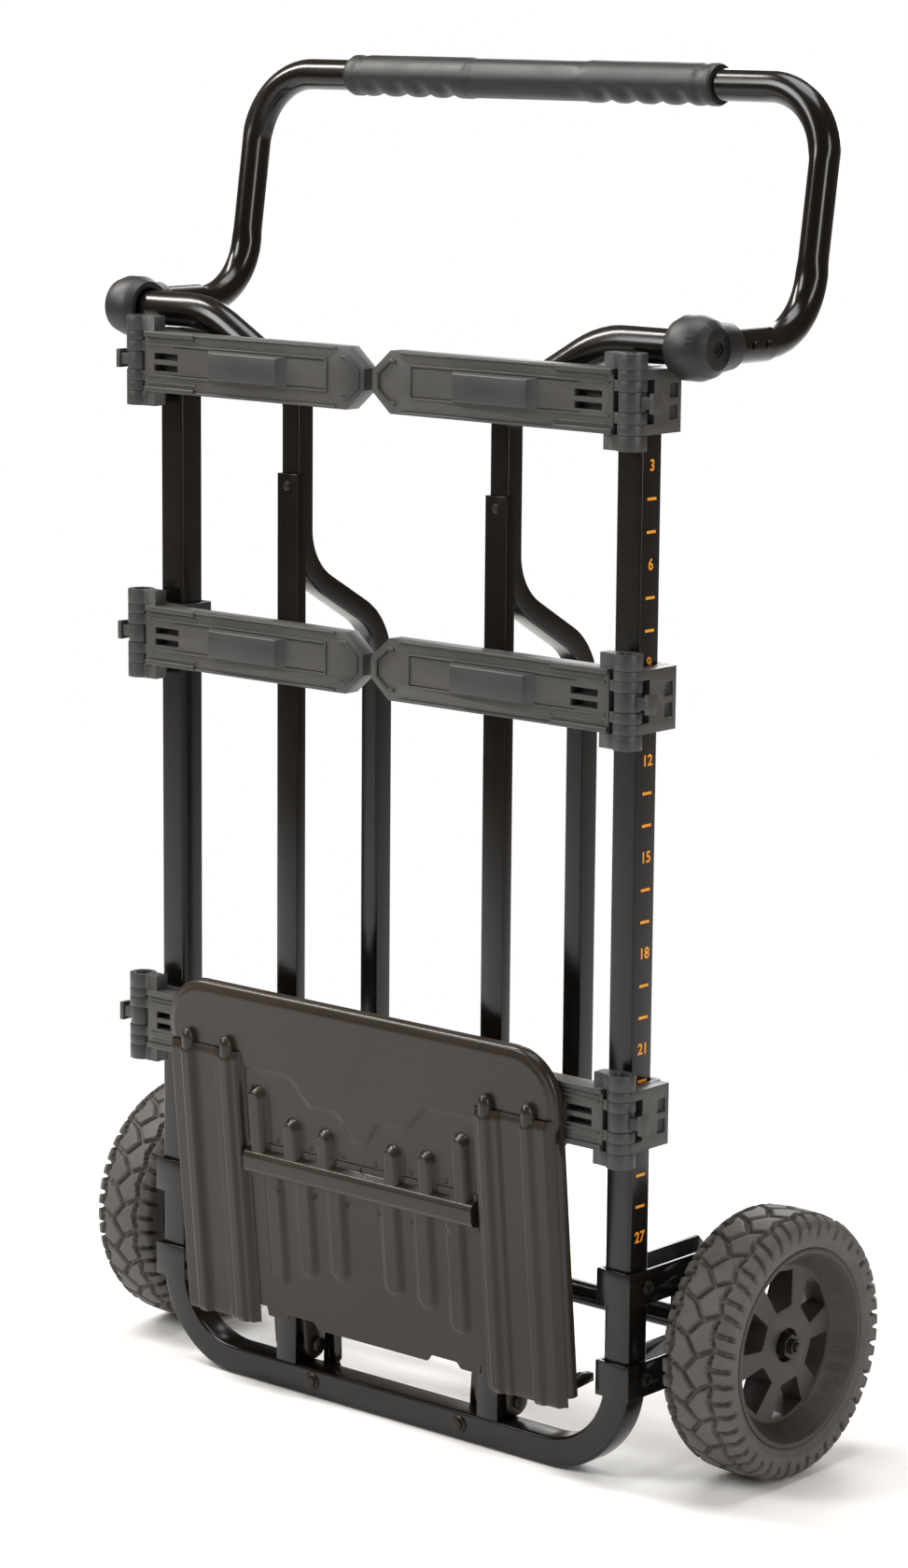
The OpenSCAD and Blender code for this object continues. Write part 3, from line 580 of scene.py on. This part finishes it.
def grab_block(bm, sx, front, mid):
    """Raised block with sloping ends and a sloping lower face."""
    x0, x1, z0, z1, deep = 94.5, 169.5, mid - 9.8, mid + 11.8, 7.5
    base = [(x0 - 7, z0 - 2.5), (x1 + 7, z0 - 2.5), (x1 + 7, z1 + 2), (x0 - 7, z1 + 2)]
    top = [(x0, z0), (x1, z0), (x1, z1), (x0, z1)]
    low = [bm.verts.new((sx * x, front + 1, z)) for x, z in base]
    high = [bm.verts.new((sx * x, front - deep, z)) for x, z in top]
    made = [bm.faces.new(low), bm.faces.new(high[::-1])]
    for k in range(4):
        made.append(bm.faces.new((low[k - 1], high[k - 1], high[k], low[k])))
    bmesh.ops.recalc_face_normals(bm, faces=made)
    edges = list({e for f in made for e in f.edges})
    bmesh.ops.bevel(bm, geom=edges, offset=0.8, segments=2, offset_type="OFFSET", profile=0.5,
                    affect="EDGES", clamp_overlap=True, material=-1)


for height in SETS:
    for side, sx in SIDES:
        tag = height + "_" + side
        low, high = box_mm("arm_" + tag)
        slider = "slider_" + tag
        mid = (low.z + high.z) / 2
        front = low.y + 7
        tip = min(abs(low.x), abs(high.x))
        hinge_x = max(abs(low.x), abs(high.x)) - 11.4
        bm = packed_copy("arm_" + tag, 0.6)
        arm_trim(bm, sx, tip, hinge_x - 14, front, mid)
        grab_block(bm, sx, front, mid)
        body = slider if height == "low" else "arm_" + tag
        piece("arm_" + tag + "_shown", bm, body, "bracket_plastic", PLASTIC, "arm_" + tag)
        piece("clamp_" + tag + "_shown", packed_copy("clamp_" + tag, 0.9), slider,
              "bracket_plastic", PLASTIC, "clamp_" + tag)
        piece("latch_" + tag + "_shown", packed_copy("latch_" + tag, 0.6), "latch_" + tag,
              "bracket_plastic", PLASTIC, "latch_" + tag)
        piece("pin_" + tag + "_shown", packed_copy("pin_" + tag, 0.4), slider,
              "black_steel_hardware", STEEL, "pin_" + tag)
print("bracket sets:", len(SETS) * 2)

# %% [markdown]
# ## Wheels
#
# The tread is one tile of grooves repeated round the tyre: a zig-zag centre groove, slanting
# cross grooves and shoulder blocks that run down the side wall. Depths are in millimetres.

# %% Tyres and hubs
PITCHES, PER_PITCH = 24, 30
RIM_R, TREAD_DEEP = 81, 4.5


def tread_depth(along, across, pitch):
    """Groove depth at a place on the tile, as the nearest of its groove lines."""
    lines = [((0, -6), (0.5, 6)), ((0.5, 6), (1, -6)),
             ((0, -6), (0.28, -22)), ((0.5, 6), (0.78, 22)),
             ((0.28, -22), (0.12, -46)), ((0.78, 22), (0.62, 46)),
             ((0.28, -22), (0.72, -18)), ((0.72, -18), (1.28, -22)),
             ((0.78, 22), (0.22, 18)), ((0.22, 18), (-0.22, 22)),
             ((0.72, -18), (0.66, -38)), ((0.22, 18), (0.16, 38))]
    nearest = 99.0
    for (u0, s0), (u1, s1) in lines:
        for shift in (-1, 0, 1):
            ax, ay = (u0 + shift) * pitch, s0
            bx, by = (u1 + shift) * pitch, s1
            dx, dy = bx - ax, by - ay
            t = max(0.0, min(1.0, ((along - ax) * dx + (across - ay) * dy) / (dx * dx + dy * dy)))
            nearest = min(nearest, math.hypot(along - ax - t * dx, across - ay - t * dy))
    return 1 - smooth_step(nearest, 1.3, 2.6)


def tyre_mesh(side, sx):
    low, high = box_mm("tyre_" + side)
    mid_x, half_w = (low.x + high.x) / 2, (high.x - low.x) / 2
    cy, cz = (low.y + high.y) / 2, (low.z + high.z) / 2
    outer, rim = (high.z - low.z) / 2, RIM_R
    # cross-section from the inner rim edge over the tread to the outer rim edge
    shape = route([(-half_w + 3, 0, rim), (-half_w, 0, rim + 7), (-half_w, 0, outer - 7),
                   (-half_w + 9, 0, outer - 1.5), (0, 0, outer + 0.4), (half_w - 9, 0, outer - 1.5),
                   (half_w, 0, outer - 7), (half_w, 0, rim + 7), (half_w - 3, 0, rim)],
                  [3, 8, 9, 200, 9, 8, 3], 12)
    shape = denser(shape, 1.6)
    length = [0.0]
    for a, b in zip(shape, shape[1:]):
        length.append(length[-1] + (b - a).length)
    pitch = 2 * math.pi * outer / PITCHES
    across = [v - length[-1] / 2 for v in length]
    tile = [[tread_depth(k / PER_PITCH * pitch, s, pitch) for s in across] for k in range(PER_PITCH)]
    bm = bmesh.new()
    rings = []
    count = PITCHES * PER_PITCH
    for k in range(count):
        a = 2 * math.pi * k / count
        row = []
        for j, p in enumerate(shape):
            s = abs(across[j])
            deep = TREAD_DEEP * tile[k % PER_PITCH][j] * (1 - smooth_step(s, 40, 46))
            ahead = shape[min(j + 1, len(shape) - 1)] - shape[max(j - 1, 0)]
            n = Vector((-ahead.z, 0, ahead.x)).normalized()
            if 48 < s < 53:
                deep += 0.5 * (0.5 - 0.5 * math.cos(2 * math.pi * k / 4))
            if 54 < s < 56:
                deep += 0.8
            x, r = p.x - n.x * deep, p.z - n.z * deep
            row.append(bm.verts.new((mid_x + x, cy + r * math.sin(a), cz + r * math.cos(a))))
        rings.append(row)
    for k in range(count):
        r, s = rings[k - 1], rings[k]
        for j in range(len(shape)):
            bm.faces.new((r[j - 1], r[j], s[j], s[j - 1]))
    return bm


for side, sx in SIDES:
    bm = tyre_mesh(side, sx)
    print("tyre", side, "faces:", len(bm.faces))
    piece("tyre_" + side + "_shown", bm, "wheel_" + side, "tread_rubber", TYRE,
          "tyre_" + side, sharp=50)
    piece("hub_" + side + "_shown", packed_copy("hub_" + side, 1.4), "wheel_" + side, "hub_plastic",
          HUB, "hub_" + side)

# %% [markdown]
# ## Toe plate
#
# A pressed sheet drawn as a height field in the plate's own plane, which leans a few degrees:
# short and long stiffening ribs, weld dimples, a shallow swoop and a rolled rim.

# %% Toe plate frame of reference
toe = next(j for j in frame["record"]["behaviour"]["joints"] if j["name"] == "toe_fold")
pivot = Vector(toe["pos_m"]) / MM
tilt = math.radians(90 - toe["range_deg"][1])
stand = Matrix.Rotation(tilt, 3, "X")


def on_plate(x, y, z):
    return pivot + stand @ Vector((x, y, z))


sheet_hi = box_mm("toe_sheet")[1]
half_w = sheet_hi.x
sheet_front, thick, CORNER = -31.0, 2.0, 44
top_h = (sheet_hi.z - pivot.z + 2) / math.cos(tilt) - 1.2


def ridge(x, z, cx, width, z0, z1, height):
    """A pressed rib with round ends."""
    end = width / 2
    zc = min(max(z, z0 + end), z1 - end)
    d = math.hypot(x - cx, z - zc)
    return height * (1 - smooth_step(d, end - 4.0, end))


def plate_height(x, z):
    """How far the sheet stands forward of its plane."""
    h = 0.0
    a = abs(x)
    for cx, top in ((112, 236), (74, 214), (37, 212)):
        h = max(h, ridge(a, z, cx, 19, 160, top, 7.0))
    for cx, low in ((100, 62), (66, 76), (30, 80)):
        h = max(h, ridge(a, z, cx, 22, low, 176, 3.8))
    edge = 206 + 22 * smooth_step(a, 4, 26) + 22 * smooth_step(a, 50, 78)
    h += 1.3 * smooth_step(z - edge, -2.0, 2.0)
    for cx in (18, 55, 93):
        for cz in (150, 192):
            h -= 1.0 * (1 - smooth_step(math.hypot(a - cx, z - cz), 1.5, 3.2))
    return h


def plate_limits(x):
    a = abs(x)
    top = top_h
    if a > half_w - CORNER:
        top -= CORNER - math.sqrt(max(0.0, CORNER ** 2 - (a - half_w + CORNER) ** 2))
    low = 30 + 6 * smooth_step(a, 60, 66) - 5 * smooth_step(a, 92, 98) + 8 * (a > 118) * (a < 130)
    return low, top


# %% Toe plate sheet
bm = bmesh.new()
cols, rows_n = 284, 186
RIM_ROLL = 4
front, back = [], []
for i in range(cols + 1):
    t = i / cols
    x = half_w * math.sin((t - 0.5) * math.pi) * 0.35 + (2 * t - 1) * half_w * 0.65
    lo, hi = plate_limits(x)
    f_row, b_row = [], []
    for j in range(rows_n + 1):
        v = j / rows_n
        z = lo + (hi - lo) * v
        gap = min(half_w - abs(x), hi - z)
        if abs(x) > half_w - CORNER and z > hi - CORNER:
            gap = min(gap, CORNER - math.hypot(abs(x) - half_w + CORNER, z - top_h + CORNER))
        gap = max(0.0, gap)
        rolled = RIM_ROLL - math.sqrt(max(0, RIM_ROLL ** 2 - (RIM_ROLL - min(RIM_ROLL, gap)) ** 2))
        y = sheet_front - plate_height(x, z) * smooth_step(gap, 4, 9) + rolled
        f_row.append(bm.verts.new(on_plate(x, y, z)))
        b_row.append(bm.verts.new(on_plate(x, y + thick + (2.5 if gap < 0.01 else 0), z)))
    front.append(f_row)
    back.append(b_row)
for grid in (front, back):
    for i in range(cols):
        for j in range(rows_n):
            bm.faces.new((grid[i][j], grid[i + 1][j], grid[i + 1][j + 1], grid[i][j + 1]))
for j in range(rows_n):
    for i in (0, cols):
        bm.faces.new((front[i][j], front[i][j + 1], back[i][j + 1], back[i][j]))
for i in range(cols):
    for j in (0, rows_n):
        bm.faces.new((front[i][j], front[i + 1][j], back[i + 1][j], back[i][j]))
for side, sx in SIDES:
    xs = sorted((sx * (half_w - 9), sx * (half_w - 2)))
    arm = bmesh.new()
    slab(arm, [(-28, 36), (-8, 36), (0, 39), (0, 43), (-10, 46), (-28, 43)], "X", xs[0], xs[1], 1.0)
    for v in arm.verts:
        v.co = on_plate(*v.co)
    arm.to_mesh(mesh := bpy.data.meshes.new("stop_arm"))
    bm.from_mesh(mesh)
    bpy.data.meshes.remove(mesh)
    arm.free()
print("toe sheet faces:", len(bm.faces))
piece("toe_sheet_shown", bm, "toe", "plate_paint", PLATE, "toe_sheet", sharp=60)

# %% [markdown]
# ### Runners and cross bar
#
# Each runner is a pressed strip with two round ridges that stand past its top edge, welded down
# at the ends. The cross bar is a hat section with a soft crown.

# %% Runners
RIDGES = (142, 186)
for side, sx in SIDES:
    lo, hi = box_mm("runner_" + side)
    inner, outer = sorted((abs(lo.x), abs(hi.x)))
    bm = bmesh.new()
    count_x, count_z = 84, 120
    skins = []
    for skin in (0, 1):
        grid = []
        for i in range(count_x + 1):
            a = inner + (outer - inner) * i / count_x
            edge = min(a - inner, outer - a)
            row = []
            for j in range(count_z + 1):
                z = 23 + 240 * j / count_z
                rise = 6.4 * smooth_step(edge, 1.5, 6)
                for c in RIDGES:
                    rise += 3.4 * (1 - smooth_step(abs(a - c), 3.5, 7))
                mid = (inner + outer) / 2
                rise -= 2.2 * (1 - smooth_step(abs(a - mid), 10, 13))
                fall = min(1, smooth_step(z, 22, 28) * 0.25 + 0.75)
                fall *= 1 - 0.35 * smooth_step(z, 256, 263)
                y = sheet_front - 0.3 - rise * fall * (0.9 if skin else 1) + skin * 0.9
                row.append(bm.verts.new(on_plate(sx * a, min(y, sheet_front - 0.1), z)))
            grid.append(row)
        skins.append(grid)
        for i in range(count_x):
            for j in range(count_z):
                bm.faces.new((grid[i][j], grid[i + 1][j], grid[i + 1][j + 1], grid[i][j + 1]))
    f, b = skins
    for j in range(count_z):
        for i in (0, count_x):
            bm.faces.new((f[i][j], f[i][j + 1], b[i][j + 1], b[i][j]))
    for i in range(count_x):
        for j in (0, count_z):
            bm.faces.new((f[i][j], f[i + 1][j], b[i + 1][j], b[i][j]))
    # round ridge ends that stand past the top edge
    for c in RIDGES:
        tip = [on_plate(sx * c, sheet_front - 3.2, 246 + 3 * k) for k in range(9)]
        tip += [on_plate(sx * c, sheet_front - 2.4, 272.5), on_plate(sx * c, sheet_front - 1.4, 274)]
        sizes = [6.4] * 8 + [6.0, 4.6, 2.2]
        sweep(bm, tip, lambda i, p: round_section(sizes[i], 20), (1, 0, 0))
    piece("runner_" + side + "_shown", bm, "toe", "plate_paint", PLATE, "runner_" + side, sharp=45)

# %% Cross bar and lugs
bar_half = box_mm("cross_bar")[1].x
outline = route([(0, 154, 0.4), (0, 159, 0.4), (0, 161, 7.6), (0, 165, 9.6), (0, 175, 9.6),
                 (0, 179, 7.6), (0, 181.5, 0.8), (0, 187, 0.8)], [1.4, 1.8, 1.8, 1.8, 1.8, 1.4], 15)
bm = bmesh.new()
rows = []
for k in range(41):
    x = -bar_half + 2 * bar_half * k / 40
    rows.append([bm.verts.new(on_plate(x, sheet_front - 0.3 - p.z, p.y)) for p in outline]
                + [bm.verts.new(on_plate(x, sheet_front - 0.1, p.y)) for p in (outline[-1], outline[0])])
for r, s in zip(rows, rows[1:]):
    for k in range(len(r)):
        bm.faces.new((r[k - 1], r[k], s[k], s[k - 1]))
bm.faces.new(rows[0][::-1])
bm.faces.new(rows[-1])
for k in range(-3, 4):
    lathe(bm, [(0.2, 0), (-1.4, 0), (-1.2, 1.2), (-0.4, 2.2), (0.2, 2.6)],
          on_plate(k * bar_half / 3.6, sheet_front - 0.8, 184.5), "Y", 20, close=False)
piece("cross_bar_shown", bm, "toe", "plate_paint", PLATE, "cross_bar", sharp=50)
piece("toe_lugs_shown", packed_copy("toe_lugs", 0.5), "toe", "plate_paint", PLATE, "toe_lugs")

# %% [markdown]
# ## Height scale
#
# An amber scale on the outer face of the right post: a tick every unit and a number every third.

# %% Height scale
UNIT, DIGIT_H = 25.4, 12.4
face_x = rail_high.x
zero = post_top + 4.4
bm = bmesh.new()
for k in range(1, 28):
    z = zero - UNIT * k
    if k % 3:
        slab(bm, [(-5.5, z - 1.1), (5.5, z - 1.1), (5.5, z + 1.1), (-5.5, z + 1.1)], "X",
             face_x, face_x + 0.12)
piece("scale_ticks", bm, "frame", "frame_paint", INK)
for k in range(3, 28, 3):
    curve = bpy.data.curves.new("digits", "FONT")
    curve.body = str(k)
    curve.size = DIGIT_H * MM
    curve.align_x = "CENTER"
    curve.align_y = "CENTER"
    curve.extrude = 0.06 * MM
    curve.offset = 0.25 * MM
    text = bpy.data.objects.new("digits", curve)
    bpy.context.scene.collection.objects.link(text)
    text.matrix_world = Matrix.Translation(Vector((face_x + 0.06, 0, zero - UNIT * k)) * MM) @ Matrix(
        ((0, 0, 1, 0), (1, 0, 0, 0), (0, 1, 0, 0), (0, 0, 0, 1)))
    bpy.context.view_layer.update()
    mesh = bpy.data.meshes.new_from_object(text.evaluated_get(bpy.context.evaluated_depsgraph_get()))
    mesh.transform(text.matrix_world)
    bpy.data.objects.remove(text)
    number = bpy.data.objects.new("scale_number_%02d" % k, mesh)
    mesh.materials.clear()
    mesh.materials.append(INK)
    bpy.context.scene.collection.objects.link(number)
    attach(number, "frame")
